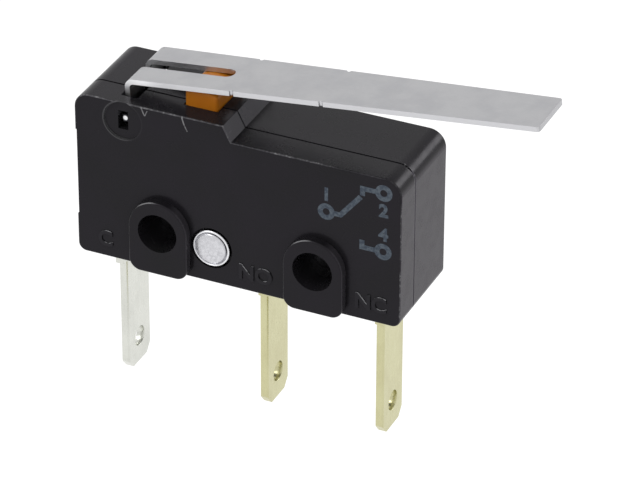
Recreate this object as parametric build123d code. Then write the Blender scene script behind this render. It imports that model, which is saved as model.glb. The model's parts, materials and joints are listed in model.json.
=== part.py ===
from build123d import *
from math import asin, cos, pi, radians, sin, sqrt
import os

# Subminiature snap-action micro switch with a long hinged lever.
# Millimetres. The origin is midway between the two mounting-hole axes, at half the housing's depth.
# +X runs along the housing towards the lever's free end, +Y to the rear, +Z up, along the plunger.

# General clearances
seat_gap = 0.05          # between a fixed piece and the moulding or strip that carries it
slide_gap = 0.06         # round the plunger in its guide, each side
touch_gap = 0.03         # between two moving pieces that push on each other
plane_reach = 0.001      # how near a plane an edge must lie to be taken as in it

# Mounting holes and the ends of the housing
hole_pitch = 9.5
hole_radius = 1.2
left_margin = 5.26       # from the left hole's axis to the left end
right_margin = 5.05      # from the right hole's axis to the right end
bottom_margin = 2.63     # from the hole axes down to the underside

# Housing
housing_depth = 6.2
cover_depth = 1.9        # of that depth, the front cover's share
face_wall = 0.9          # front and rear walls
side_wall = 0.8          # end walls and floor
post_wall = 0.8          # tube round each mounting hole
low_corner = 0.5         # rounding of the two lower corners
top_left_corner = 0.9
top_right_corner = 1.0
rim_round = 0.1          # rounding round the front and rear faces
parting_bevel = 0.06     # bevel on both shells along the parting line
grip_depth = 0.11        # shallow recess in the left end
grip_margin = 2.35       # from the recess to the housing's top and bottom

# Bosses round the mounting holes, proud of the front face
boss_height = 0.52
boss_half_width = 1.8
boss_rise = 0.15         # centre of the arch above the hole axis
boss_low_corner = 0.7
boss_drop = 0.06         # how far the boss reaches below the housing's underside
boss_edge = 0.1

# Terminals: tabs 2.8 mm wide and 0.5 mm thick
tab_width = 2.8
tab_thickness = 0.5
tab_length = 8.7         # below the housing
tab_bevel_side = 0.06    # bevel of the long edges, across the thickness
tab_bevel_face = 0.12    # the same bevel, across the width
tab_tip_side = 0.55      # tip corners, across the width
tab_tip_rise = 0.65      # tip corners, along the tab
tab_hole_radius = 0.6
tab_hole_rise = 1.65     # from the tip to the hole's centre
shoulder_length = 1.2    # wide root of a tab, below the housing
common_shoulder = 0.4    # how far the common tab's root stands out, each side
contact_shoulder = 0.15  # the same, on the other two tabs
common_inset = 1.91      # from the housing's left end to the common tab
common_to_open = 8.85
open_to_closed = 7.15
strip_bend = 0.5         # bend radius of the strips, at mid-thickness

# Contacts and the contact arm
contact_radius = 0.85
contact_shank = 0.4
fixed_head = 0.3
moving_head = 0.35
contact_travel = 0.5     # of the moving contact, at its centre
contact_margin = 0.09    # left between the lower contacts at full travel
contact_inset = 1.8      # from the normally closed tab's plane to the contacts
contact_overhang = 0.9   # strips and arm past the contacts' centre
arm_thickness = 0.25
arm_width = 2.6
arm_rail = 0.5
arm_knife = 1.75         # from the plunger's centre to the arm's knife edges
knife_play = 0.04
notch_depth = 0.15
notch_half_height = 0.22
fork_rise = 0.4          # fork above the arm

# Snap spring
wire_radius = 0.1
coil_radius = 0.36       # at the wire's centre
coil_turns = 11
coil_pitch = 0.26
coil_start = 0.7         # from the plunger's centre to the coil
spring_rise = 0.06       # spring axis above the middle of the arm
hook_drop = 0.45
hook_play = 0.2          # between the left hook and the tongue, for the swing of both
hook_reach = 0.8         # from the coil to the arm's hole for the right hook
wire_joint = 0.13        # radius of the blend where the coil turns into a hook

# Drive leaf
leaf_thickness = 0.3
leaf_width = 2.6
leaf_curl = 0.3          # radius of the rolled end that it turns on
leaf_groove_gap = 0.04
leaf_inset = 0.56        # from the cavity's left wall to the rolled end's axis
leaf_overhang = 0.45     # past the plunger's centre
tongue_back = 1.7        # from the arm's knife edges back to the spring tongue
tongue_thickness = 0.25
tongue_width = 1.2
tongue_drop = 1.45
tongue_slot_width = 0.4
tongue_slot_up = 0.5     # slot above the spring's wire
tongue_slot_down = 0.35  # slot below the spring's wire

# Plunger
plunger_width = 2.0
plunger_depth = 3.5
plunger_corner = 0.2     # rounding of the upright edges and of the top's rim
plunger_shoulder = 0.3   # rounding between the crown and the left and right sides
plunger_crown = 3.0      # radius of the crowned top
collar_lip = 0.4
collar_thickness = 0.4
collar_room = 0.08
foot_radius = 0.35
foot_height = 0.27
foot_width = 2.0
guide_wall = 1.58        # from the collar's pocket up to the housing's top

# Housing's top
top_land = 0.95          # flat top between the plunger and the sloping facet
facet_run = 0.48
step_height = 0.93       # drop of the housing's top over the facet

# Lever: one folded strip
lever_thickness = 0.3
lever_rest_angle = 6.14  # degrees, rising to the right
lever_travel = 8.5       # degrees, down to full press
lever_reach = 24.4       # from the pivot to the free end
root_width = 4.18        # over the pivot; the blade tapers evenly from here to its tip
tip_width = 3.44
slot_width = 0.93
slot_end = 5.7           # from the pivot to the tip of the slot's round end
nick_places = (6.4, 11.75)  # small shear marks in both long edges, from the pivot
nick_radius = 0.12
bend_inner = 0.24
tip_corner = 0.2
blade_gap = 0.66         # blade above the housing's top, over the pivot
pivot_inset = 2.98       # from the housing's left end to the pivot
pivot_to_plunger = 4.2
pivot_depth = 1.15       # below the housing's top
ear_height = 0.42
ear_tip_gap = 0.4        # from the ear's tip to the housing's face
leg_tail = 0.45          # leg below the pivot
pocket_left_play = 0.32  # from the leg to the left side of its pocket
pocket_right_play = 0.42
pocket_end_play = 0.2    # from the leg to the front and rear of its pocket
pocket_floor_play = 0.15
window_width = 0.62
window_height = 1.15
recess_radius = 1.175
recess_depth = 0.12

# Rivet
rivet_x = -1.64
rivet_z = -0.4
rivet_head_radius = 1.13
rivet_head = 0.45        # depth of the recess that the head sits in
rivet_rise = 0.08        # front head above the face
rivet_rim = 0.15         # rounding of both heads
rivet_shank = 0.75
rivet_ring = 0.14        # dark gap round the head
rivet_post_wall = 0.6

# Places worked out along X
hole_x = hole_pitch / 2
left_end = -hole_x - left_margin
right_end = hole_x + right_margin
cavity_left = left_end + side_wall
cavity_right = right_end - side_wall
pivot_x = left_end + pivot_inset
plunger_x = pivot_x + pivot_to_plunger
facet_top = plunger_x + plunger_width / 2 + top_land
facet_foot = facet_top + facet_run
common_x = left_end + common_inset
open_x = common_x + common_to_open
closed_x = open_x + open_to_closed
contact_x = closed_x - contact_inset
strip_end = contact_x + contact_overhang
knife_x = plunger_x - arm_knife
fork_right = knife_x + notch_depth - knife_play
fork_x = fork_right - tab_thickness / 2
leaf_x = cavity_left + leaf_inset
leaf_end = plunger_x + leaf_overhang
tongue_x = knife_x - tongue_back

# Places worked out along Y
front_y = -housing_depth / 2
rear_y = housing_depth / 2
parting_y = front_y + cover_depth
cavity_front = front_y + face_wall
cavity_rear = rear_y - face_wall

# Heights, stacked up from the mounting-hole axes
bottom_z = -bottom_margin
cavity_floor = bottom_z + side_wall
post_radius = hole_radius + post_wall
low_strip_z = post_radius + seat_gap + tab_thickness / 2
open_face_z = low_strip_z + tab_thickness / 2 + fixed_head
moving_bottom_z = open_face_z + contact_margin + contact_travel
arm_bottom_z = moving_bottom_z + moving_head
arm_z = arm_bottom_z + arm_thickness / 2
moving_top_z = arm_bottom_z + arm_thickness + moving_head
closed_face_z = moving_top_z + touch_gap
high_strip_z = closed_face_z + fixed_head + tab_thickness / 2
cavity_top = high_strip_z + tab_thickness / 2 + seat_gap
fork_top = arm_z + fork_rise
leaf_top_z = cavity_top - seat_gap
leaf_bottom_z = leaf_top_z - leaf_thickness
leaf_pivot_z = leaf_bottom_z
spring_z = arm_z + spring_rise
foot_z = leaf_top_z + touch_gap
collar_bottom = foot_z + foot_height
collar_top = collar_bottom + collar_thickness
pocket_top = collar_top + collar_room
high_top = pocket_top + guide_wall
low_top = high_top - step_height
pivot_z = high_top - pivot_depth
blade_bottom = (pivot_depth + blade_gap) * cos(radians(lever_rest_angle))


def lever_underside(angle):
    """Height of the blade's underside over the plunger's centre, with the blade at this angle."""
    slope = radians(angle)
    return pivot_z + (blade_bottom + pivot_to_plunger * sin(slope)) / cos(slope)


def crown_gap(angle):
    """Height lost between the plunger's apex and a tangent blade at this angle."""
    return plunger_crown * (1 / cos(radians(angle)) - 1)


plunger_top = lever_underside(lever_rest_angle) - crown_gap(lever_rest_angle) - touch_gap
pressed_angle = lever_rest_angle - lever_travel
pressed_top = lever_underside(pressed_angle) - crown_gap(pressed_angle) - touch_gap
plunger_travel = plunger_top - pressed_top
leaf_travel = asin(plunger_travel / (plunger_x - leaf_x))
arm_travel = asin(contact_travel / (contact_x - knife_x))


def prism(sketch, near_y, far_y):
    """Extrude a sketch drawn in X and Z between two Y planes."""
    return extrude(Plane.XZ.offset(-far_y) * sketch, amount=far_y - near_y)


def block(low_x, high_x, low_y, high_y, low_z, high_z):
    """Box between its lowest and highest corners."""
    corner = Location((low_x, low_y, low_z))
    size = (high_x - low_x, high_y - low_y, high_z - low_z)
    return corner * Box(*size, align=(Align.MIN, Align.MIN, Align.MIN))


def rim(solid, y):
    """Edges of a solid that lie in one Y plane."""
    return solid.edges().filter_by_position(Axis.Y, y - plane_reach, y + plane_reach)


def disc(x, z, radius, near_y, far_y):
    """Cylinder along Y."""
    return prism(Pos(x, z) * Circle(radius), near_y, far_y)


def bent_strip(points, thickness, width, bend):
    """Flat strip, folded in the XZ plane, that follows the points at mid-thickness."""
    path = FilletPolyline(*[(x, 0, z) for x, z in points], radius=bend)
    section = Plane(origin=path @ 0, x_dir=(0, 1, 0), z_dir=path % 0) * Rectangle(width, thickness)
    return sweep(section, path=path)


def rivet_contact(x, low_z, high_z, head_low, head_high):
    """Round contact rivet: a shank between two heights with a wider head between two others."""
    shank = Pos(x, 0, (low_z + high_z) / 2) * Cylinder(contact_shank, high_z - low_z)
    head = Pos(x, 0, (head_low + head_high) / 2) * Cylinder(contact_radius, head_high - head_low)
    return shank + head


def outline():
    """Housing seen from the front, with the sloping facet in its top."""
    corners = [
        (left_end, bottom_z),
        (right_end, bottom_z),
        (right_end, low_top),
        (facet_foot, low_top),
        (facet_top, high_top),
        (left_end, high_top),
    ]
    face = make_face(Polyline(*corners, close=True))
    rounded = [
        (left_end, bottom_z, low_corner),
        (right_end, bottom_z, low_corner),
        (right_end, low_top, top_right_corner),
        (left_end, high_top, top_left_corner),
    ]
    for x, z, radius in rounded:
        corner = face.vertices().sort_by_distance((x, z))[0]
        face = fillet(corner, radius)
    return face


def housing_shell(near_y, far_y, face_y):
    """One solid half of the housing, rounded at its outer face and bevelled at the parting line."""
    shell = prism(outline(), near_y, far_y)
    shell = fillet(rim(shell, face_y), rim_round)
    shell = chamfer(rim(shell, parting_y), parting_bevel)
    grip_top = high_top - grip_margin
    grip_low = bottom_z + grip_margin
    return shell - block(left_end, left_end + grip_depth, front_y, rear_y, grip_low, grip_top)


def boss(x):
    """Arched boss on the front face, round one mounting hole."""
    arch = Pos(x, boss_rise) * Circle(boss_half_width)
    lowest = bottom_z - boss_drop
    height = boss_rise - lowest
    foot = Pos(x, lowest + height / 2) * Rectangle(2 * boss_half_width, height)
    face = arch + foot
    for side in (-1, 1):
        corner = face.vertices().sort_by_distance((x + side * boss_half_width, lowest))[0]
        face = fillet(corner, boss_low_corner)
    solid = prism(face, front_y - boss_height, front_y + rim_round)
    return fillet(rim(solid, front_y - boss_height), boss_edge)


def cavity():
    """Room for the mechanism, with the posts and the leaf's grooved rib left standing in it."""
    room = block(cavity_left, cavity_right, cavity_front, cavity_rear, cavity_floor, cavity_top)
    for x in (-hole_x, hole_x):
        room -= disc(x, 0, post_radius, cavity_front, cavity_rear)
    room -= disc(rivet_x, rivet_z, rivet_shank + rivet_post_wall, cavity_front, cavity_rear)
    rib_right = leaf_x + leaf_curl / 2
    rib_low = leaf_pivot_z - 3 * leaf_curl
    rib = block(cavity_left, rib_right, cavity_front, cavity_rear, rib_low, leaf_pivot_z)
    rib -= disc(leaf_x, leaf_pivot_z, leaf_curl + leaf_groove_gap, cavity_front, cavity_rear)
    return room - rib


def top_cuts():
    """Plunger guide, collar pocket, leg pocket and the two pivot windows."""
    guide_x = plunger_width / 2 + slide_gap
    guide_y = plunger_depth / 2 + slide_gap
    cuts = block(plunger_x - guide_x, plunger_x + guide_x, -guide_y, guide_y, cavity_top, high_top)
    lip_x = guide_x + collar_lip
    cuts += block(plunger_x - lip_x, plunger_x + lip_x, -guide_y, guide_y, leaf_top_z, pocket_top)
    pocket_low = pivot_z - leg_tail - pocket_floor_play
    pocket_left = pivot_x - lever_thickness / 2 - pocket_left_play
    pocket_right = pivot_x + lever_thickness / 2 + pocket_right_play
    pocket_y = root_width / 2 + pocket_end_play
    cuts += block(pocket_left, pocket_right, -pocket_y, pocket_y, pocket_low, high_top)
    half_window = window_width / 2
    window_low = pivot_z - window_height / 2
    window_high = pivot_z + window_height / 2
    left, right = pivot_x - half_window, pivot_x + half_window
    cuts += block(left, right, front_y - boss_height, rear_y + boss_height, window_low, window_high)
    for outer, inner in ((front_y - boss_height, front_y + recess_depth), (rear_y - recess_depth, rear_y)):
        cuts += disc(pivot_x, pivot_z, recess_radius, outer, inner)
    return cuts


def through_cuts():
    """Mounting holes, rivet hole with its head recess, and the slots for the terminals."""
    near, far = front_y - boss_height, rear_y
    cuts = disc(-hole_x, 0, hole_radius, near, far) + disc(hole_x, 0, hole_radius, near, far)
    cuts += disc(rivet_x, rivet_z, rivet_shank, near, far)
    ring_radius = rivet_head_radius + rivet_ring
    cuts += disc(rivet_x, rivet_z, ring_radius, near, front_y + rivet_head)
    cuts += disc(rivet_x, rivet_z, ring_radius, rear_y - rivet_head, far)
    half_x = tab_thickness / 2 + seat_gap
    half_y = tab_width / 2 + seat_gap
    for x in (common_x, open_x, closed_x):
        cuts += block(x - half_x, x + half_x, -half_y, half_y, bottom_z, cavity_floor)
    return cuts


def housing():
    """Case and cover, cut from the same solids so that every shared opening lines up."""
    cover = housing_shell(front_y, parting_y, front_y)
    for x in (-hole_x, hole_x):
        cover += boss(x)
    case = housing_shell(parting_y, rear_y, rear_y)
    for cuts in (cavity(), top_cuts(), through_cuts()):
        cover -= cuts
        case -= cuts
    return case, cover


def rivet():
    """Tubular rivet through both shells, with its low head in front and its flush clinch at the rear."""
    shank = disc(rivet_x, rivet_z, rivet_shank, front_y, rear_y)
    front = disc(rivet_x, rivet_z, rivet_head_radius, front_y - rivet_rise, front_y + rivet_head)
    rear = disc(rivet_x, rivet_z, rivet_head_radius, rear_y - rivet_head, rear_y)
    front = fillet(rim(front, front_y - rivet_rise), rivet_rim)
    rear = fillet(rim(rear, rear_y), rivet_rim)
    return shank + front + rear


def tab(x, shoulder):
    """Outer part of a terminal: the bevelled tab with its hole and tip, and its wide root."""
    tip_z = bottom_z - tab_length
    root_z = bottom_z - seat_gap
    half_x, half_y = tab_thickness / 2, tab_width / 2
    side = [
        (-half_y, root_z),
        (-half_y, tip_z + tab_tip_rise),
        (-half_y + tab_tip_side, tip_z),
        (half_y - tab_tip_side, tip_z),
        (half_y, tip_z + tab_tip_rise),
        (half_y, root_z),
    ]
    outline_side = make_face(Polyline(*side, close=True)) - Pos(0, tip_z + tab_hole_rise) * Circle(tab_hole_radius)
    blank = extrude(Plane.YZ.offset(x - half_x) * outline_side, amount=tab_thickness)
    flat_x, flat_y = half_x - tab_bevel_side, half_y - tab_bevel_face
    ring = [(-half_x, -flat_y), (-flat_x, -half_y), (flat_x, -half_y), (half_x, -flat_y)]
    ring += [(-px, -py) for px, py in ring]
    section = make_face(Polyline(*ring, close=True))
    blade = blank & extrude(Plane.XY.offset(tip_z) * Pos(x, 0) * section, amount=tab_length)
    low_root = bottom_z - shoulder_length
    root = block(x - half_x, x + half_x, -half_y - shoulder, half_y + shoulder, low_root, root_z)
    return blade + root


def terminal(x, shoulder, inner_points):
    """Tab outside, folded strip inside."""
    start = (x, bottom_z - shoulder_length / 2)
    inner = bent_strip([start, *inner_points], tab_thickness, tab_width, strip_bend)
    return tab(x, shoulder) + inner


def terminals():
    """The three terminals: common with its fork, normally open and normally closed."""
    fork = [(common_x, low_strip_z), (fork_x, low_strip_z), (fork_x, fork_top)]
    common = terminal(common_x, common_shoulder, fork)
    gap = arm_width / 2 - arm_rail
    fork_left = fork_x - tab_thickness
    common -= block(fork_left, fork_right, -gap, gap, spring_z - coil_radius - wire_radius, fork_top)
    notch_left = fork_right - notch_depth
    low, high = arm_z - notch_half_height, arm_z + notch_half_height
    common -= block(notch_left, fork_right, -tab_width, tab_width, low, high)
    open_strip = [(open_x, low_strip_z), (strip_end, low_strip_z)]
    normally_open = terminal(open_x, contact_shoulder, open_strip)
    closed_end = contact_x - contact_overhang
    closed_strip = [(closed_x, high_strip_z), (closed_end, high_strip_z)]
    normally_closed = terminal(closed_x, contact_shoulder, closed_strip)
    hole = Pos(contact_x, 0, low_strip_z) * Cylinder(contact_shank, 2 * tab_thickness)
    normally_open -= hole
    hole = Pos(contact_x, 0, high_strip_z) * Cylinder(contact_shank, 2 * tab_thickness)
    normally_closed -= hole
    return common, normally_open, normally_closed


def fixed_contacts():
    """Contact rivets of the two fixed strips, head towards the moving contact."""
    half = tab_thickness / 2
    low_bottom, low_top_face = low_strip_z - half, low_strip_z + half
    high_bottom, high_top_face = high_strip_z - half, high_strip_z + half
    normally_open = rivet_contact(contact_x, low_bottom, open_face_z, low_top_face, open_face_z)
    normally_closed = rivet_contact(contact_x, closed_face_z, high_top_face, closed_face_z, high_bottom)
    return normally_open, normally_closed


def contact_arm():
    """Moving blade: two rails with knife edges at the left, joined at the right round the contact."""
    half = arm_width / 2
    plan = Pos((knife_x + strip_end) / 2, 0) * Rectangle(strip_end - knife_x, arm_width)
    window_end = spring_right() + 2 * wire_radius
    inner = half - arm_rail
    plan -= Pos((knife_x + window_end) / 2, 0) * Rectangle(window_end - knife_x, 2 * inner)
    plan -= Pos(contact_x, 0) * Circle(contact_shank)
    plan -= Pos(anchor_x(), 0) * Circle(2 * wire_radius)
    for side in (-1, 1):
        corner = plan.vertices().sort_by_distance((strip_end, side * half))[0]
        plan = fillet(corner, arm_rail)
    return extrude(Plane.XY.offset(arm_bottom_z) * plan, amount=arm_thickness)


def moving_contact():
    """Double-headed contact rivet, clinched in the arm's end."""
    rivet_low = rivet_contact(contact_x, moving_bottom_z, moving_top_z, moving_bottom_z, arm_bottom_z)
    top = rivet_contact(contact_x, arm_bottom_z, moving_top_z, arm_bottom_z + arm_thickness, moving_top_z)
    return rivet_low + top


def spring_left():
    """Left end of the coil."""
    return plunger_x + coil_start


def spring_right():
    """Right end of the coil."""
    return spring_left() + coil_turns * coil_pitch


def anchor_x():
    """Hole in the arm that takes the spring's right hook."""
    return spring_right() + hook_reach


def rod(points):
    """Round wire through the points, with rounded corners."""
    bend = 2 * wire_radius
    path = FilletPolyline(*points, radius=bend)
    section = Plane(origin=path @ 0, z_dir=path % 0) * Circle(wire_radius)
    return sweep(section, path=path)


def snap_spring():
    """Coil tension spring with its long left hook and short right hook."""
    length = coil_turns * coil_pitch
    helix = Helix(coil_pitch, length, coil_radius)
    section = Plane(origin=helix @ 0, z_dir=helix % 0) * Circle(wire_radius)
    coil = sweep(section, path=helix, is_frenet=True)
    coil = Location((spring_left(), 0, spring_z), (0, 90, 0)) * coil
    start = Vector(spring_left(), 0, spring_z - coil_radius)
    stop = Vector(spring_right(), 0, spring_z - coil_radius)
    hook_x = tongue_x - tongue_thickness / 2 - hook_play - wire_radius
    rise_x = spring_left() - coil_radius
    left = rod([start, (rise_x, 0, spring_z), (hook_x, 0, spring_z), (hook_x, 0, spring_z - hook_drop)])
    over_z = arm_bottom_z + arm_thickness + 2 * wire_radius
    under_z = arm_bottom_z - wire_radius
    right = rod([stop, (spring_right() + coil_radius, 0, over_z), (anchor_x(), 0, over_z), (anchor_x(), 0, under_z)])
    for point in (start, stop):
        coil += Pos(*point) * Sphere(wire_joint)
    return coil + left + right


def drive_leaf():
    """Leaf that the plunger pushes: a rolled end to turn on and a slotted tongue for the spring."""
    half = leaf_width / 2
    strip = block(leaf_x, leaf_end, -half, half, leaf_bottom_z, leaf_top_z)
    curl = disc(leaf_x, leaf_pivot_z, leaf_curl, -half, half)
    left, right = tongue_x - tongue_thickness / 2, tongue_x + tongue_thickness / 2
    tongue_low = leaf_bottom_z - tongue_drop
    tongue = block(left, right, -tongue_width / 2, tongue_width / 2, tongue_low, leaf_bottom_z)
    low, high = spring_z - tongue_slot_down, spring_z + tongue_slot_up
    tongue -= block(left, right, -tongue_slot_width / 2, tongue_slot_width / 2, low, high)
    return strip + curl + tongue


def plunger():
    """Button: crowned top, straight sides, a collar that keeps it in, and a rounded foot."""
    half = plunger_width / 2
    side_z = plunger_top - plunger_crown + sqrt(plunger_crown ** 2 - half ** 2)
    top = ThreePointArc((half, side_z), (0, plunger_top), (-half, side_z))
    sides = Polyline((-half, side_z), (-half, collar_bottom), (half, collar_bottom), (half, side_z))
    face = make_face(top + sides)
    for side in (-1, 1):
        corner = face.vertices().sort_by_distance((side * half, side_z))[0]
        face = fillet(corner, plunger_shoulder)
    stem = prism(Pos(plunger_x, 0) * face, -plunger_depth / 2, plunger_depth / 2)
    upright = stem.edges().filter_by(Axis.Z)
    stem = fillet(upright, plunger_corner)
    lip = half + collar_lip
    depth = plunger_depth / 2
    collar = block(plunger_x - lip, plunger_x + lip, -depth, depth, collar_bottom, collar_top)
    foot_centre = foot_z + foot_radius
    foot = disc(plunger_x, foot_centre, foot_radius, -foot_width / 2, foot_width / 2)
    return stem + collar + foot


def lever():
    """Folded lever in its rest position, turned up about the pivot."""
    half = lever_thickness / 2
    reach_y = rear_y - ear_tip_gap
    mid = blade_bottom + half
    bend = bend_inner + half
    sheet = bent_strip([(0, -leg_tail), (0, mid), (lever_reach, mid)], lever_thickness, 2 * reach_y, bend)
    root, tip = root_width / 2, tip_width / 2
    face = make_face(Polyline((-half, -root), (lever_reach, -tip), (lever_reach, tip), (-half, root), close=True))
    for side in (-1, 1):
        corner = face.vertices().sort_by_distance((lever_reach, side * tip))[0]
        face = fillet(corner, tip_corner)
    for place in nick_places:
        edge_y = root + (tip - root) * (place + half) / (lever_reach + half)
        face -= Pos(place, -edge_y) * Circle(nick_radius) + Pos(place, edge_y) * Circle(nick_radius)
    keep = extrude(Plane.XY.offset(-leg_tail) * face, amount=leg_tail + blade_bottom + lever_thickness)
    keep += block(-half, half, -reach_y, reach_y, -ear_height / 2, ear_height / 2)
    slot_radius = slot_width / 2
    slot_centre = slot_end - slot_radius
    slot = Pos((slot_centre - half) / 2, 0) * Rectangle(slot_centre + half, slot_width)
    slot += Pos(slot_centre, 0) * Circle(slot_radius)
    keep -= extrude(Plane.XY.offset(-leg_tail) * slot, amount=leg_tail + blade_bottom + lever_thickness)
    folded = sheet & keep
    return Location((pivot_x, 0, pivot_z), (0, -lever_rest_angle, 0)) * folded


def main():
    """Write one STEP file for each piece."""
    os.makedirs("parts", exist_ok=True)
    case, cover = housing()
    common, normally_open, normally_closed = terminals()
    open_contact, closed_contact = fixed_contacts()
    pieces = {
        "case": case,
        "cover": cover,
        "rivet": rivet(),
        "plunger": plunger(),
        "lever": lever(),
        "terminal_common": common,
        "terminal_normally_open": normally_open,
        "terminal_normally_closed": normally_closed,
        "contact_normally_open": open_contact,
        "contact_normally_closed": closed_contact,
        "contact_arm": contact_arm(),
        "moving_contact": moving_contact(),
        "drive_leaf": drive_leaf(),
        "snap_spring": snap_spring(),
    }
    for name, shape in pieces.items():
        export_step(shape, f"parts/{name}.step")
    print("plunger travel", round(plunger_travel, 4), "mm")
    print("lever pivot", round(pivot_x, 4), round(pivot_z, 4))
    print("leaf pivot", round(leaf_x, 4), round(leaf_pivot_z, 4), "travel", round(leaf_travel * 180 / pi, 4))
    print("arm pivot", round(knife_x, 4), round(arm_z, 4), "travel", round(arm_travel * 180 / pi, 4))
    print("high top", round(high_top, 3), "low top", round(low_top, 3), "plunger top", round(plunger_top, 3))


main()
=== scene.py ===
"""Looks of the lever micro switch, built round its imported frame; lengths here are millimetres."""

import json
import math

import bmesh
import bpy
from mathutils import Matrix, Vector


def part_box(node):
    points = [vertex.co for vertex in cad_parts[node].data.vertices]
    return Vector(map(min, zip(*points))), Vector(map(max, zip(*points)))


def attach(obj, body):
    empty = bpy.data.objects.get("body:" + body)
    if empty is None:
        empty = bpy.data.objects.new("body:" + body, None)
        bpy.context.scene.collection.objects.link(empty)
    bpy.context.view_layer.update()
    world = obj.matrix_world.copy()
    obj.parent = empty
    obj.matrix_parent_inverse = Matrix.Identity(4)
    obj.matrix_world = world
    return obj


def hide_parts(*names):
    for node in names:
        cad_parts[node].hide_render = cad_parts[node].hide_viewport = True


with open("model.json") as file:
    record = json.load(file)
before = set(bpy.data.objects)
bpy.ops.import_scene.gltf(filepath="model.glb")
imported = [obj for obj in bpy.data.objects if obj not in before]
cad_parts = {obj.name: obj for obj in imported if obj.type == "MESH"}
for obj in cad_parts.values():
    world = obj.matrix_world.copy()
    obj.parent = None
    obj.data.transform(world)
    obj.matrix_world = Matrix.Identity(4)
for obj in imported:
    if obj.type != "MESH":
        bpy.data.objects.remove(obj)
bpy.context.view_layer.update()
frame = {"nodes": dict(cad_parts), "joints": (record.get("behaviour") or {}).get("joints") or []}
nodes = frame["nodes"]
MILLIMETRE = 0.001       # in Blender's metres

# Sizes of the housing that its finish follows
boss_height = 0.52       # mounting bosses, proud of the front face
boss_x = 4.75            # their middles, left and right of the origin
hole_radius = 1.2        # mounting holes through the bosses
corner_foot = 5.65       # height at which the rounded top right corner begins
slope_foot = 6.65        # height of the foot of the slope in the top
slope_limit = 2.0        # between that slope and the rounded corner at its right
recess_radius = 1.175    # moulded round the pivot window

# Places read from the frame
cover_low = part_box("cover")[0] / MILLIMETRE
case_low, case_high = [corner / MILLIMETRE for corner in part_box("case")]
rivet_low, rivet_high = [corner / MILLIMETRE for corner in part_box("rivet")]
front_y = cover_low.y + boss_height
parting_y = case_low.y
bottom_z = case_low.z
left_x = case_low.x
right_x = case_high.x
rivet_centre = (rivet_low + rivet_high) / 2
rivet_radius = (rivet_high.x - rivet_low.x) / 2
lever_hinge = next(joint for joint in frame["joints"] if joint["name"] == "lever_hinge")
hinge_x, _, hinge_z = [place / MILLIMETRE for place in lever_hinge["pos_m"]]

# Camera, from the photograph's perspective
camera_azimuth = 24.40
camera_elevation = 31.51
camera_roll = 0.26
camera_distance = 222.4
camera_right = 4.543
camera_up = 0.471
sensor_width = 36.0
focal_length = 225.9

# Stage: each lamp has a name, its place, the point that it faces, and its power in watts
floor_drop = 40.0        # below the housing's underside
floor_size = 6000.0
floor_shade = 0.82
floor_glow = 0.35        # lifts the floor to white for the camera and in reflections
world_diffuse = 0.72     # the world's strength where it only lights
lamp_size = 70.0
lamps = (
    ("key", (-75, -69, 110), (0, 0, 0), 0.07),
    ("rim", (104, 156, 71), (8, 0, 4), 0.068),
)

# Finish
housing_level = 0.14                # specular level of the black plastic and its ink
housing_tint = (0.93, 0.88, 1.0, 1.0)
button_level = 0.18
seam_break = 0.06                   # deepens the case's bevel along the parting line, in shading
scratches = (                       # both ends in X and Z, and the width that is fully bright
    ((-5.85, 7.55), (-5.66, 7.12), 0.045),
    ((-5.62, 7.10), (-5.48, 7.42), 0.035),
    ((-3.37, 7.60), (-3.22, 7.10), 0.055),
    ((-3.22, 7.10), (-3.04, 6.75), 0.04),
)
lever_softening = 0.035
tab_softening = 0.03
weld_reach = 0.0005                 # joins the corners that neighbouring CAD faces share
sharp_angle = 35.0

# Rivet
rim_width = 0.1
rim_round = 0.08
disc_inset = 0.21                   # from the rivet's outside to its inner disc
disc_shift = -0.05                  # the inner disc lies off centre
disc_drop = 0.02
groove_depth = 0.26
clinch_round = 0.2
rivet_seat = 0.45                   # thickness of the head below the face, and of the clinch
rivet_shank = 0.75

# Moulded letters and printed diagram
labels = (("label_common", "C", -8.24), ("label_open", "NO", 1.08), ("label_closed", "NC", 8.07))
label_z = -1.42
label_height = 1.0
label_relief = 0.07
label_weight = 0.03                 # fattens the strokes
print_relief = 0.006
print_layer = 0.002                 # keeps crossing strokes from lying in one plane
line_width = 0.3
terminal_radius = 0.36
common_place = (5.35, 3.75)         # terminals of the diagram, in X and Z
closed_place = (8.75, 5.75)
opened_place = (8.75, 2.05)
contact_x = 7.5
contact_drop = 0.45                 # from a contact's line to its end
pivot_reach = 0.85                  # from the common terminal to the blade's pivot
digit_height = 0.85
digit_weight = 0.045
digit_gap = 1.1                     # from a terminal's middle to its digit's


def srgb(red, green, blue):
    """A colour written as 0 to 255 on screen, as the linear colour that a shader takes."""
    parts = [value / 255 for value in (red, green, blue)]
    linear = [part / 12.92 if part <= 0.04045 else ((part + 0.055) / 1.055) ** 2.4 for part in parts]
    return (*linear, 1.0)


def metres(x, y, z):
    """A place in millimetres, as Blender takes it."""
    return (x * MILLIMETRE, y * MILLIMETRE, z * MILLIMETRE)


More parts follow.
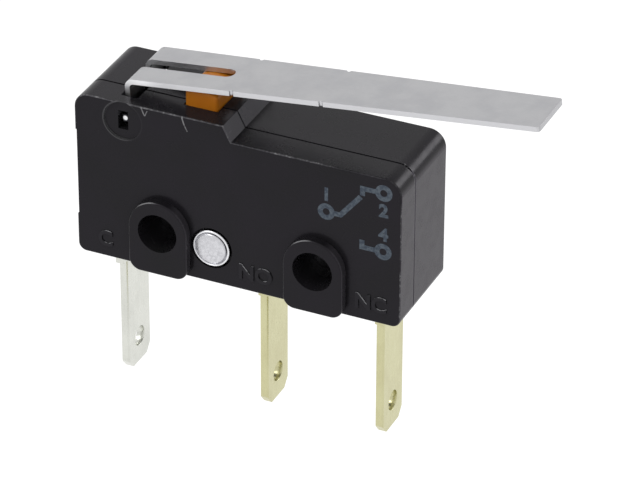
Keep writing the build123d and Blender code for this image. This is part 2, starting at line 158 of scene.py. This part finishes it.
class Shader:
    """A Principled material being built: short calls for its nodes and links."""

    def __init__(self, name, metallic=0.0, specular=0.5):
        self.material = bpy.data.materials.new(name)
        self.material.use_nodes = True
        self.tree = self.material.node_tree
        self.surface = self.tree.nodes["Principled BSDF"]
        self.set("Metallic", metallic)
        self.set("Specular IOR Level", specular)
        self.place = self.tree.nodes.new("ShaderNodeTexCoord").outputs["Object"]

    def feed(self, node, socket, value):
        """Give one input of a node a constant, or link another node's output to it."""
        target = node.inputs[socket]
        if isinstance(value, bpy.types.NodeSocket):
            self.tree.links.new(value, target)
        else:
            target.default_value = value

    def set(self, socket, value):
        """Give one input of the Principled surface a constant or a link."""
        self.feed(self.surface, socket, value)

    def color_so_far(self):
        """The output that now feeds the base colour, for a finish to build on."""
        return self.surface.inputs["Base Color"].links[0].from_socket

    def math(self, operation, first, second=0.0, clamp=False):
        """One scalar operation."""
        node = self.tree.nodes.new("ShaderNodeMath")
        node.operation = operation
        node.use_clamp = clamp
        self.feed(node, 0, first)
        self.feed(node, 1, second)
        return node.outputs[0]

    def product(self, first, *factors):
        """Masks or numbers multiplied together."""
        for factor in factors:
            first = self.math("MULTIPLY", first, factor)
        return first

    def strongest(self, first, *masks):
        """The highest of several masks at each point."""
        for mask in masks:
            first = self.math("MAXIMUM", first, mask)
        return first

    def vector(self, operation, first, second=(0, 0, 0), output=0):
        """One vector operation."""
        node = self.tree.nodes.new("ShaderNodeVectorMath")
        node.operation = operation
        self.feed(node, 0, first)
        self.feed(node, 1, second)
        return node.outputs[output]

    def split(self, vector):
        """The three scalars of a vector."""
        node = self.tree.nodes.new("ShaderNodeSeparateXYZ")
        self.feed(node, 0, vector)
        return node.outputs

    def axes(self):
        """Object coordinates in millimetres, as three scalars."""
        return self.split(self.vector("MULTIPLY", self.place, (1 / MILLIMETRE,) * 3))

    def facing(self):
        """The surface's own direction, as three scalars."""
        shape = self.tree.nodes.new("ShaderNodeNewGeometry")
        return self.split(shape.outputs["Normal"])

    def noise(self, grain, stretch=(1, 1, 1), detail=3.0, rough=0.5):
        """Noise with features about this many millimetres across, stretched along the axes."""
        node = self.tree.nodes.new("ShaderNodeTexNoise")
        factors = tuple(1 / (MILLIMETRE * grain * share) for share in stretch)
        self.feed(node, "Vector", self.vector("MULTIPLY", self.place, factors))
        self.feed(node, "Scale", 1.0)
        self.feed(node, "Detail", detail)
        self.feed(node, "Roughness", rough)
        return node.outputs[0]

    def ramp(self, value, low, high, out_low=0.0, out_high=1.0):
        """Map a value smoothly from one range to another, clamped at both ends."""
        node = self.tree.nodes.new("ShaderNodeMapRange")
        node.interpolation_type = "SMOOTHSTEP"
        for index, part in enumerate((value, low, high, out_low, out_high)):
            self.feed(node, index, part)
        return node.outputs[0]

    def fade(self, value, start, end):
        """Mask that is full up to start and gone from end."""
        return self.ramp(value, start, end, 1.0, 0.0)

    def band(self, value, rise, full, fade, gone):
        """Mask that rises to full and fades again."""
        return self.product(self.ramp(value, rise, full), self.fade(value, fade, gone))

    def mix(self, factor, first, second):
        """Blend two colours."""
        node = self.tree.nodes.new("ShaderNodeMix")
        node.data_type = "RGBA"
        self.feed(node, "Factor", factor)
        self.feed(node, 6, first)
        self.feed(node, 7, second)
        return node.outputs[2]

    def bump(self, height, depth, strength=1.0):
        """Bump whose full height is this many millimetres."""
        node = self.tree.nodes.new("ShaderNodeBump")
        self.feed(node, "Strength", strength)
        self.feed(node, "Distance", depth * MILLIMETRE)
        self.feed(node, "Height", height)
        self.set("Normal", node.outputs[0])

    def from_point(self, axes, x, z):
        """Offset from a point in X and Z, in millimetres, laid in the vector's first two axes."""
        position = self.tree.nodes.new("ShaderNodeCombineXYZ")
        self.feed(position, 0, axes[0])
        self.feed(position, 1, axes[2])
        return self.vector("SUBTRACT", position.outputs[0], (x, z, 0))

    def away(self, axes, x, z):
        """Distance from a point in X and Z, in millimetres."""
        return self.vector("LENGTH", self.from_point(axes, x, z), output=1)

    def stroke(self, axes, start, end, width):
        """Mask of a fine straight scratch on a face, between two points in X and Z."""
        along = Vector((*end, 0)) - Vector((*start, 0))
        offset = self.from_point(axes, *start)
        share = self.vector("DOT_PRODUCT", offset, tuple(along / along.length_squared), output=1)
        share = self.math("ADD", share, 0.0, clamp=True)
        node = self.tree.nodes.new("ShaderNodeVectorMath")
        node.operation = "SCALE"
        self.feed(node, 0, tuple(along))
        self.feed(node, "Scale", share)
        nearest = self.vector("SUBTRACT", offset, node.outputs[0])
        distance = self.vector("LENGTH", nearest, output=1)
        return self.fade(distance, width / 2, width)


def housing_color(shader, axes, depth, closed_seam):
    """Clouded black, with painted sheen on the right end, the slope of the top, the closed seam and the boss
    walls.
    """
    facing = shader.facing()
    color = shader.mix(shader.noise(2.6, detail=4.0), srgb(24, 25, 24), srgb(31, 28, 34))
    # Painted sheen: the right end lighter and purpler than the rest.
    right_end = shader.ramp(axes[0], right_x - 0.05, right_x - 0.01)
    color = shader.mix(right_end, color, srgb(34, 28, 38))
    # Painted highlight: the slope in the top, where it faces right, lighter.
    slope = shader.product(shader.ramp(facing[0], 0.3, 0.5),
                           shader.ramp(axes[2], slope_foot - 0.05, slope_foot + 0.05),
                           shader.fade(axes[0], slope_limit - 0.5, slope_limit))
    color = shader.mix(slope, color, srgb(64, 63, 67))
    # Painted sheen: the parting line near the right end lightened to the shade of the faces round it.
    color = shader.mix(closed_seam, color, srgb(76, 73, 80))
    from_hole = shader.math("MINIMUM", shader.away(axes, -boss_x, 0), shader.away(axes, boss_x, 0))
    # Painted light: the boss walls lighter, in place of their dark reflection of the front face.
    boss_wall = shader.product(shader.fade(depth, -0.06, -0.02), shader.ramp(facing[0], 0.3, 0.7),
                               shader.ramp(from_hole, hole_radius + 0.1, hole_radius + 0.2))
    return shader.mix(boss_wall, color, srgb(54, 52, 56))


def edge_scuffs_and_highlight(shader, axes, depth):
    """Flecks on the rounding of the front's upper, left and right edges, fewer at the upper right; on the
    left edge they are a painted highlight.
    """
    rounding = shader.band(depth, 0.004, 0.02, 0.075, 0.1)
    upper = shader.product(shader.ramp(axes[2], 5.2, 6.0), shader.ramp(axes[0], 4.2, 6.4, 1.0, 0.2))
    right = shader.product(shader.ramp(axes[0], right_x - 0.5, right_x - 0.25, 0.0, 0.85),
                           shader.fade(axes[2], corner_foot - 0.7, corner_foot - 0.2))
    # Painted highlight on the rounding of the left edge.
    left = shader.ramp(axes[0], left_x + 0.3, left_x + 0.5, 0.4, 0.0)
    edges = shader.math("ADD", shader.math("ADD", upper, right), left, clamp=True)
    flecks = shader.ramp(shader.noise(0.17, detail=3.0), 0.46, 0.66, 0.16, 0.62)
    stretches = shader.ramp(shader.noise(1.3, detail=2.0), 0.36, 0.56, 0.25, 1.0)
    return shader.product(flecks, stretches, edges, rounding)


def seam_nicks(shader, axes, from_seam):
    """Nicks along the parting line where it rounds the top right corner."""
    nicks = shader.ramp(shader.noise(0.13, detail=2.0), 0.58, 0.66, 0.0, 0.5)
    corner = shader.product(shader.ramp(axes[0], right_x - 1.0, right_x - 0.6),
                            shader.ramp(axes[2], corner_foot, corner_foot + 0.3))
    return shader.product(nicks, shader.fade(from_seam, 0.1, 0.22), corner)


def recess_rim_highlight(shader, axes, depth):
    """Painted highlight on the rim of the round recess at the pivot window, weaker to the right."""
    from_pivot = shader.away(axes, hinge_x, hinge_z)
    rim = shader.band(from_pivot, recess_radius - 0.09, recess_radius - 0.03,
                      recess_radius + 0.03, recess_radius + 0.08)
    weaker = shader.ramp(axes[0], hinge_x - 0.1, hinge_x + 0.8, 0.18, 0.03)
    return shader.product(rim, shader.fade(depth, 0.1, 0.16), weaker)


def boss_crest_highlights(shader, axes, depth):
    """Painted highlights as arcs on the upper left edges of the two bosses."""
    behind_face = shader.math("ADD", depth, boss_height)
    rounding = shader.band(behind_face, 0.01, 0.03, 0.08, 0.11)
    crest = shader.product(rounding, shader.ramp(axes[2], 0.8, 1.5, 0.0, 0.7))
    arcs = []
    for centre_x in (-boss_x, boss_x):
        beside = shader.math("ABSOLUTE", shader.math("SUBTRACT", axes[0], centre_x - 0.7))
        arcs.append(shader.product(crest, shader.fade(beside, 0.2, 0.7)))
    return shader.strongest(*arcs)


def face_scratches(shader, axes, depth, grain):
    """Fine scratches on the front face near the pivot, broken up by the grain."""
    strokes = [shader.stroke(axes, *scratch) for scratch in scratches]
    broken_up = shader.ramp(grain, 0.3, 0.6, 0.25, 0.7)
    return shader.product(shader.strongest(*strokes), shader.fade(depth, 0.05, 0.12), broken_up)


def housing_plastic():
    """Black moulded plastic, glossy at a slant, with light scuffs along its edges and parting line, and
    painted highlights and sheen.
    """
    shader = Shader("housing_black", specular=housing_level)
    axes = shader.axes()
    depth = shader.math("SUBTRACT", axes[1], front_y)
    behind_seam = shader.math("SUBTRACT", axes[1], parting_y)
    from_seam = shader.math("ABSOLUTE", behind_seam)
    closed_seam = shader.product(shader.fade(from_seam, 0.08, 0.12),
                                 shader.ramp(axes[0], right_x - 0.35, right_x - 0.2),
                                 shader.ramp(axes[2], bottom_z + 1.0, 4.0, 0.65, 1.0))
    color = housing_color(shader, axes, depth, closed_seam)
    grain = shader.noise(0.09, detail=2.0)
    # Scuffs, nicks and scratches, together with painted highlights on the left edge, the recess rim and the
    # boss crests.
    painted_highlights_and_wear = shader.strongest(
        edge_scuffs_and_highlight(shader, axes, depth),
        seam_nicks(shader, axes, from_seam),
        recess_rim_highlight(shader, axes, depth),
        boss_crest_highlights(shader, axes, depth),
        face_scratches(shader, axes, depth, grain),
    )
    shader.set("Base Color", shader.mix(painted_highlights_and_wear, color, srgb(150, 150, 152)))
    uneven = shader.ramp(shader.noise(0.9, detail=3.0), 0.3, 0.7, 0.21, 0.29)
    shader.set("Roughness", shader.math("ADD", uneven, shader.product(painted_highlights_and_wear, 0.35), clamp=True))
    shader.set("Specular Tint", housing_tint)
    broken_edge = shader.math("DIVIDE", behind_seam, seam_break, clamp=True)
    relief = shader.math("ADD", broken_edge, shader.product(grain, 0.025))
    shader.bump(relief, seam_break, strength=shader.math("SUBTRACT", 1.0, closed_seam))
    return shader.material


def letter_plastic():
    """The housing's plastic on its raised letters, with a painted highlight in spots along their upper
    sides.
    """
    shader = Shader("letter_black", specular=housing_level)
    color = shader.mix(shader.noise(2.6, detail=4.0), srgb(30, 30, 31), srgb(37, 35, 40))
    spots = shader.ramp(shader.noise(0.3, detail=2.0), 0.4, 0.6, 0.1, 1.0)
    # Painted highlight: the upward-facing sides of the strokes lightened in spots.
    highlight_spots = shader.product(shader.ramp(shader.facing()[2], 0.62, 0.85), spots)
    shader.set("Base Color", shader.mix(highlight_spots, color, srgb(165, 165, 168)))
    shader.set("Roughness", shader.ramp(highlight_spots, 0.0, 1.0, 0.25, 0.5))
    shader.set("Specular Tint", housing_tint)
    shader.bump(shader.noise(0.09, detail=2.0), 0.0015)
    return shader.material


def plunger_plastic():
    """Orange plastic of the button, clouded and a little translucent."""
    shader = Shader("plunger_orange", specular=button_level)
    cloud = shader.noise(1.2, detail=3.0)
    shader.set("Base Color", shader.mix(cloud, srgb(168, 94, 18), srgb(192, 120, 30)))
    shader.set("Subsurface Weight", 0.15)
    shader.set("Subsurface Radius", metres(0.6, 0.3, 0.1))
    shader.set("Subsurface Scale", 1.0)
    shader.set("Roughness", shader.ramp(shader.noise(0.5), 0.3, 0.7, 0.28, 0.4))
    shader.bump(shader.noise(0.13, detail=2.0), 0.002)
    return shader.material


def metal(name, color, tarnished, roughness, grain=(6.0, 0.35, 0.35), grain_depth=0.0015):
    """Shader of a sheet metal: rolling lines along X unless the grain says otherwise, faint tarnish."""
    shader = Shader(name, metallic=1.0)
    lines = shader.noise(0.1, stretch=grain, detail=4.0, rough=0.6)
    tarnish = shader.ramp(shader.noise(1.8, detail=5.0, rough=0.6), 0.35, 0.7)
    shader.set("Base Color", shader.mix(tarnish, color, tarnished))
    shader.set("Roughness", shader.ramp(lines, 0.3, 0.7, roughness - 0.05, roughness + 0.07))
    shader.bump(lines, grain_depth)
    return shader


def lever_steel():
    """Spring steel of the lever: painted highlights on its sheared edges, brightest at the bend, and at the
    pivot on its dark ears.
    """
    shader = metal("lever_steel", srgb(180, 180, 182), srgb(172, 172, 175), 0.34)
    axes = shader.axes()
    # Painted highlight on the sheared edges, brightest near the bend.
    edge_on = shader.ramp(shader.math("ABSOLUTE", shader.facing()[1]), 0.35, 0.8)
    from_bend = shader.ramp(axes[0], hinge_x + 0.5, hinge_x + 2.2)
    cut_edge_highlight = shader.mix(from_bend, srgb(238, 238, 240), srgb(203, 203, 206))
    color = shader.mix(edge_on, shader.color_so_far(), cut_edge_highlight)
    # Dark ears, with a painted highlight round the pivot.
    painted_highlights_and_wear = shader.fade(shader.away(axes, hinge_x, hinge_z), 0.1, 0.17)
    ear_color = shader.mix(painted_highlights_and_wear, srgb(48, 48, 52), srgb(236, 236, 238))
    ear = shader.fade(axes[2], hinge_z + 0.3, hinge_z + 0.5)
    shader.set("Base Color", shader.mix(ear, color, ear_color))
    return shader.material


def rivet_metal():
    """Plated metal of the rivet: painted highlight on the rim, mottled duller disc, painted shade in the
    groove at its upper right.
    """
    shader = metal("rivet_metal", srgb(199, 199, 203), srgb(186, 186, 190), 0.3,
                   grain=(1, 1, 1), grain_depth=0.004)
    axes = shader.axes()
    mottle = shader.ramp(shader.noise(0.16, detail=4.0, rough=0.7), 0.42, 0.62)
    disc = shader.mix(mottle, shader.color_so_far(), srgb(210, 210, 214))
    from_axis = shader.away(axes, rivet_centre.x, rivet_centre.z)
    # Painted highlight on the rounded rim.
    rim = shader.ramp(from_axis, rivet_radius - 0.15, rivet_radius - 0.11)
    turned = shader.mix(rim, disc, srgb(228, 228, 231))
    # Painted shade in the groove at the upper right.
    depth = shader.math("SUBTRACT", axes[1], rivet_low.y)
    diagonal = shader.math("SUBTRACT", shader.math("ADD", axes[0], axes[2]), rivet_centre.x + rivet_centre.z)
    groove = shader.product(shader.band(depth, 0.07, 0.14, 0.3, 0.4),
                            shader.ramp(diagonal, 0.3, 1.1, 0.0, 0.9))
    shader.set("Base Color", shader.mix(groove, turned, srgb(40, 40, 42)))
    return shader.material


def ink():
    """Blue-grey marking ink, thin and unevenly laid."""
    shader = Shader("marking_ink", specular=housing_level)
    patches = shader.noise(0.22, detail=4.0, rough=0.65)
    thick = shader.ramp(patches, 0.36, 0.62)
    shader.set("Base Color", shader.mix(thick, srgb(60, 68, 80), srgb(89, 98, 107)))
    shader.set("Roughness", 0.5)
    shader.bump(patches, 0.002)
    return shader.material


def dress(material, *names):
    """Give CAD nodes one material."""
    for name in names:
        mesh = nodes[name].data
        mesh.materials.clear()
        mesh.materials.append(material)


def soften(name, width):
    """Small rounding on a CAD node's sharp edges, so that they catch the light."""
    weld = nodes[name].modifiers.new("weld", "WELD")
    weld.merge_threshold = weld_reach * MILLIMETRE
    bevel = nodes[name].modifiers.new("edges", "BEVEL")
    bevel.width = width * MILLIMETRE
    bevel.segments = 2
    bevel.limit_method = "ANGLE"
    bevel.angle_limit = math.radians(sharp_angle)
    bevel.harden_normals = True


def finished_mesh(name, builder):
    """The mesh of a builder whose faces are complete."""
    mesh = bpy.data.meshes.new(name)
    builder.to_mesh(mesh)
    builder.free()
    return mesh


def new_piece(name, mesh, material):
    """Link a finished mesh as a piece that rides on the housing."""
    piece = bpy.data.objects.new(name, mesh)
    bpy.context.scene.collection.objects.link(piece)
    mesh.materials.clear()
    mesh.materials.append(material)
    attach(piece, "housing")
    return piece


def circle(centre, radius, steps):
    """Points round a circle, in X and Z."""
    turns = [math.tau * step / steps for step in range(steps)]
    return [(centre[0] + radius * math.cos(turn), centre[1] + radius * math.sin(turn)) for turn in turns]


def lathe(name, profile, centre, steps=96):
    """Turn (radius, y, shift) points about an axis along Y; a shift moves that ring off the axis."""
    builder = bmesh.new()
    rings = []
    for radius, y, shift in profile:
        middle = (centre.x + shift, centre.z + shift)
        places = circle(middle, radius, steps) if radius else [middle]
        rings.append([builder.verts.new(metres(x, y, z)) for x, z in places])
    for near, far in zip(rings, rings[1:]):
        for step in range(steps):
            after = (step + 1) % steps
            corners = [near[step % len(near)], near[after % len(near)]]
            corners += [far[after % len(far)], far[step % len(far)]]
            corners = list(dict.fromkeys(corners))
            if len(corners) > 2:
                builder.faces.new(corners)
    bmesh.ops.recalc_face_normals(builder, faces=builder.faces)
    mesh = finished_mesh(name, builder)
    mesh.shade_smooth()
    return mesh


def quarter(radius, y, size, inward):
    """Rounded edge of a turned piece, from its outer side to its face."""
    turns = [math.radians(15 * step) for step in range(7)]
    return [
        (radius - size * (1 - math.cos(turn)), y + inward * size * (1 - math.sin(turn)), 0)
        for turn in turns
    ]


def make_rivet():
    """Rivet with a rounded rim, an off-centre closing groove in front, and a tubular clinch behind."""
    front, rear = rivet_low.y, rivet_high.y
    front_seat, rear_seat = front_y + rivet_seat, rear - rivet_seat
    inner = rivet_radius - disc_inset
    disc = [
        (0, front + disc_drop, disc_shift),
        (inner - 0.5, front + disc_drop, disc_shift),
        (inner - 0.06, front + 0.03, disc_shift),
        (inner, front + 0.06, disc_shift),
    ]
    groove = [
        (inner + 0.01, front + groove_depth, disc_shift),
        (rivet_radius - rim_width - 0.02, front + groove_depth, 0),
        (rivet_radius - rim_width - 0.015, front + 0.03, 0),
        (rivet_radius - rim_width, front, 0),
    ]
    rim = quarter(rivet_radius, front, rim_round, 1)[::-1]
    stem = [
        (rivet_radius, front_seat, 0),
        (rivet_shank, front_seat, 0),
        (rivet_shank, rear_seat, 0),
        (rivet_radius, rear_seat, 0),
    ]
    clinch = quarter(rivet_radius, rear, clinch_round, -1)
    bore = [
        (0.6, rear - 0.06, 0),
        (0.5, rear - 0.2, 0),
        (0.46, rear - 0.5, 0),
        (0.44, rear - 1.4, 0),
        (0, rear - 1.5, 0),
    ]
    mesh = lathe("rivet_turned", disc + groove + rim + stem + clinch + bore, rivet_centre)
    piece = new_piece("rivet_turned", mesh, rivet_metal())
    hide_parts("rivet")


def text_mesh(name, text, relief, weight):
    """Mesh of a text, not yet to size, raised both ways along Z; the weight fattens its strokes."""
    curve = bpy.data.curves.new(name + "_outline", "FONT")
    curve.body = text
    curve.align_x = "CENTER"
    curve.size = 1.0
    curve.extrude = relief
    curve.offset = weight
    source = bpy.data.objects.new(name + "_outline", curve)
    bpy.context.scene.collection.objects.link(source)
    bpy.context.view_layer.update()
    mesh = bpy.data.meshes.new_from_object(source.evaluated_get(bpy.context.evaluated_depsgraph_get()))
    bpy.data.objects.remove(source)
    return mesh


def letters(name, text, centre_x, centre_z, height, relief, weight, material):
    """Raised characters of a given height on the front face."""
    mesh = text_mesh(name, text, relief, weight)
    widths = [vertex.co.x for vertex in mesh.vertices]
    heights = [vertex.co.y for vertex in mesh.vertices]
    middle_x = (min(widths) + max(widths)) / 2
    middle_y = (min(heights) + max(heights)) / 2
    factor = height / (max(heights) - min(heights))
    for vertex in mesh.vertices:
        x = centre_x + (vertex.co.x - middle_x) * factor
        z = centre_z + (vertex.co.y - middle_y) * factor
        vertex.co = metres(x, front_y - vertex.co.z, z)
    mesh.flip_normals()
    new_piece(name, mesh, material)


def prism(builder, points, near_y, far_y):
    """Closed prism between two Y planes, from an outline in X and Z."""
    near = [builder.verts.new(metres(x, near_y, z)) for x, z in points]
    far = [builder.verts.new(metres(x, far_y, z)) for x, z in points]
    builder.faces.new(near)
    builder.faces.new(far[::-1])
    for index in range(len(points)):
        after = (index + 1) % len(points)
        builder.faces.new([near[index], far[index], far[after], near[after]])


def bar(builder, start, end, near_y, far_y):
    """Straight printed line."""
    start, end = Vector(start), Vector(end)
    side = (end - start).normalized().orthogonal() * line_width / 2
    prism(builder, [start + side, end + side, end - side, start - side], near_y, far_y)


def ring(builder, centre, near_y, far_y, steps=32):
    """Printed ring of a terminal, made of wedges that share their corners."""
    loops = []
    for radius in (terminal_radius - line_width / 2, terminal_radius + line_width / 2):
        for y in (near_y, far_y):
            loops.append([builder.verts.new(metres(x, y, z)) for x, z in circle(centre, radius, steps)])
    inner_near, inner_far, outer_near, outer_far = loops
    around = [inner_near, outer_near, outer_far, inner_far, inner_near]
    for step in range(steps):
        after = (step + 1) % steps
        for one, two in zip(around, around[1:]):
            builder.faces.new([one[step], one[after], two[after], two[step]])


def make_diagram(material):
    """Generic printed diagram of a changeover contact, with plain numbers at its terminals."""
    builder = bmesh.new()
    near_y, far_y = front_y - print_relief, front_y + print_relief
    common_x, common_z = common_place
    closed_x, closed_z = closed_place
    opened_x, opened_z = opened_place
    pivot = (common_x + pivot_reach, common_z)
    line_end = contact_x - line_width / 2
    lines = [
        ((common_x + terminal_radius, common_z), pivot),
        (pivot, (contact_x - 0.1, closed_z - contact_drop - 0.1)),
        ((closed_x - terminal_radius, closed_z), (line_end, closed_z)),
        ((contact_x, closed_z), (contact_x, closed_z - contact_drop)),
        ((opened_x - terminal_radius, opened_z), (line_end, opened_z)),
        ((contact_x, opened_z), (contact_x, opened_z + contact_drop)),
    ]
    for centre in (common_place, closed_place, opened_place):
        ring(builder, centre, near_y, far_y)
    prism(builder, circle(pivot, line_width / 2, 24), near_y - (len(lines) + 1) * print_layer, far_y)
    for layer, (start, end) in enumerate(lines, start=1):
        bar(builder, start, end, near_y - layer * print_layer, far_y)
    bmesh.ops.recalc_face_normals(builder, faces=builder.faces)
    new_piece("printed_diagram", finished_mesh("printed_diagram", builder), material)
    digits = (
        ("1", common_x, common_z + digit_gap),
        ("2", closed_x, closed_z - digit_gap),
        ("4", opened_x, opened_z + digit_gap),
    )
    for digit, x, z in digits:
        letters("printed_" + digit, digit, x, z, digit_height, print_relief, digit_weight, material)


def make_camera():
    """Camera at the photograph's angle and distance."""
    azimuth, elevation = math.radians(camera_azimuth), math.radians(camera_elevation)
    across = math.cos(elevation)
    back = Vector((math.sin(azimuth) * across, -math.cos(azimuth) * across, math.sin(elevation)))
    level = Vector((math.cos(azimuth), math.sin(azimuth), 0))
    right = Matrix.Rotation(math.radians(camera_roll), 3, back) @ level
    up = back.cross(right)
    place = Vector((0, front_y, 0)) + right * camera_right + up * camera_up + back * camera_distance
    data = bpy.data.cameras.new("camera")
    data.sensor_width = sensor_width
    data.lens = focal_length
    data.clip_start = 0.01
    data.clip_end = 20.0
    camera = bpy.data.objects.new("camera", data)
    turn = Matrix((right, up, back)).transposed()
    camera.matrix_world = Matrix.Translation(metres(*place)) @ turn.to_4x4()
    bpy.context.scene.collection.objects.link(camera)
    bpy.context.scene.camera = camera


def area_light(name, place, target, power):
    """Square soft light that faces a point."""
    data = bpy.data.lights.new(name, "AREA")
    data.size = lamp_size * MILLIMETRE
    data.energy = power
    light = bpy.data.objects.new(name, data)
    light.location = metres(*place)
    light.rotation_euler = (Vector(place) - Vector(target)).to_track_quat("Z", "Y").to_euler()
    bpy.context.scene.collection.objects.link(light)


def background_rays(tree):
    """One for rays that show the background, also mirrored or through glass; nought for other rays."""
    paths = tree.nodes.new("ShaderNodeLightPath")
    total = paths.outputs["Is Camera Ray"]
    for name in ("Is Glossy Ray", "Is Transmission Ray"):
        add = tree.nodes.new("ShaderNodeMath")
        add.operation = "ADD"
        add.use_clamp = True
        tree.links.new(total, add.inputs[0])
        tree.links.new(paths.outputs[name], add.inputs[1])
        total = add.outputs[0]
    return total


def make_world():
    """Even studio light, white to the camera and in reflections."""
    world = bpy.data.worlds.new("studio")
    bpy.context.scene.world = world
    world.use_nodes = True
    tree = world.node_tree
    background = tree.nodes["Background"]
    background.inputs["Color"].default_value = (1, 1, 1, 1)
    strength = tree.nodes.new("ShaderNodeMapRange")
    strength.inputs["To Min"].default_value = world_diffuse
    strength.inputs["To Max"].default_value = 1.0
    tree.links.new(background_rays(tree), strength.inputs["Value"])
    tree.links.new(strength.outputs[0], background.inputs["Strength"])


def floor_paint():
    """Pale matt floor, white to the camera and in reflections, and clear when seen from beneath."""
    shader = Shader("floor_pale", specular=0.0)
    shader.set("Base Color", (floor_shade, floor_shade, floor_shade, 1))
    shader.set("Roughness", 0.9)
    shader.set("Emission Color", (1, 1, 1, 1))
    shader.set("Emission Strength", shader.product(background_rays(shader.tree), floor_glow))
    tree = shader.tree
    side = tree.nodes.new("ShaderNodeNewGeometry")
    clear = tree.nodes.new("ShaderNodeBsdfTransparent")
    blend = tree.nodes.new("ShaderNodeMixShader")
    tree.links.new(side.outputs["Backfacing"], blend.inputs[0])
    tree.links.new(shader.surface.outputs[0], blend.inputs[1])
    tree.links.new(clear.outputs[0], blend.inputs[2])
    tree.links.new(blend.outputs[0], tree.nodes["Material Output"].inputs["Surface"])
    return shader.material


def make_floor():
    """Level floor well below the switch."""
    builder = bmesh.new()
    half = floor_size / 2
    corners = [(-half, -half), (half, -half), (half, half), (-half, half)]
    builder.faces.new([builder.verts.new(metres(x, y, bottom_z - floor_drop)) for x, y in corners])
    mesh = finished_mesh("floor", builder)
    mesh.materials.append(floor_paint())
    floor = bpy.data.objects.new("floor", mesh)
    bpy.context.scene.collection.objects.link(floor)


def dress_nodes():
    """Materials and softened edges of the CAD nodes."""
    silvered = metal("silvered_brass", srgb(212, 213, 206), srgb(203, 204, 197), 0.3, grain=(1, 1, 8))
    brass = metal("pale_brass", srgb(200, 197, 157), srgb(193, 189, 149), 0.3, grain=(1, 1, 8))
    contact = metal("contact_silver", srgb(225, 225, 222), srgb(200, 200, 196), 0.25)
    spring = metal("spring_steel", srgb(170, 170, 173), srgb(150, 150, 155), 0.3)
    dress(housing_plastic(), "case", "cover")
    dress(plunger_plastic(), "plunger")
    dress(lever_steel(), "lever")
    dress(silvered.material, "terminal_common")
    dress(brass.material, "terminal_normally_open", "terminal_normally_closed", "contact_arm")
    dress(contact.material, "contact_normally_open", "contact_normally_closed", "moving_contact")
    dress(spring.material, "drive_leaf", "snap_spring")
    soften("lever", lever_softening)
    for name in ("terminal_common", "terminal_normally_open", "terminal_normally_closed"):
        soften(name, tab_softening)


def main():
    """Dress the frame, add the fine pieces, and set the stage."""
    bpy.context.scene.view_settings.view_transform = "Standard"
    dress_nodes()
    make_rivet()
    lettering = letter_plastic()
    for name, text, centre_x in labels:
        letters(name, text, centre_x, label_z, label_height, label_relief, label_weight, lettering)
    make_diagram(ink())
    make_camera()
    make_world()
    make_floor()
    for lamp in lamps:
        area_light(*lamp)


main()
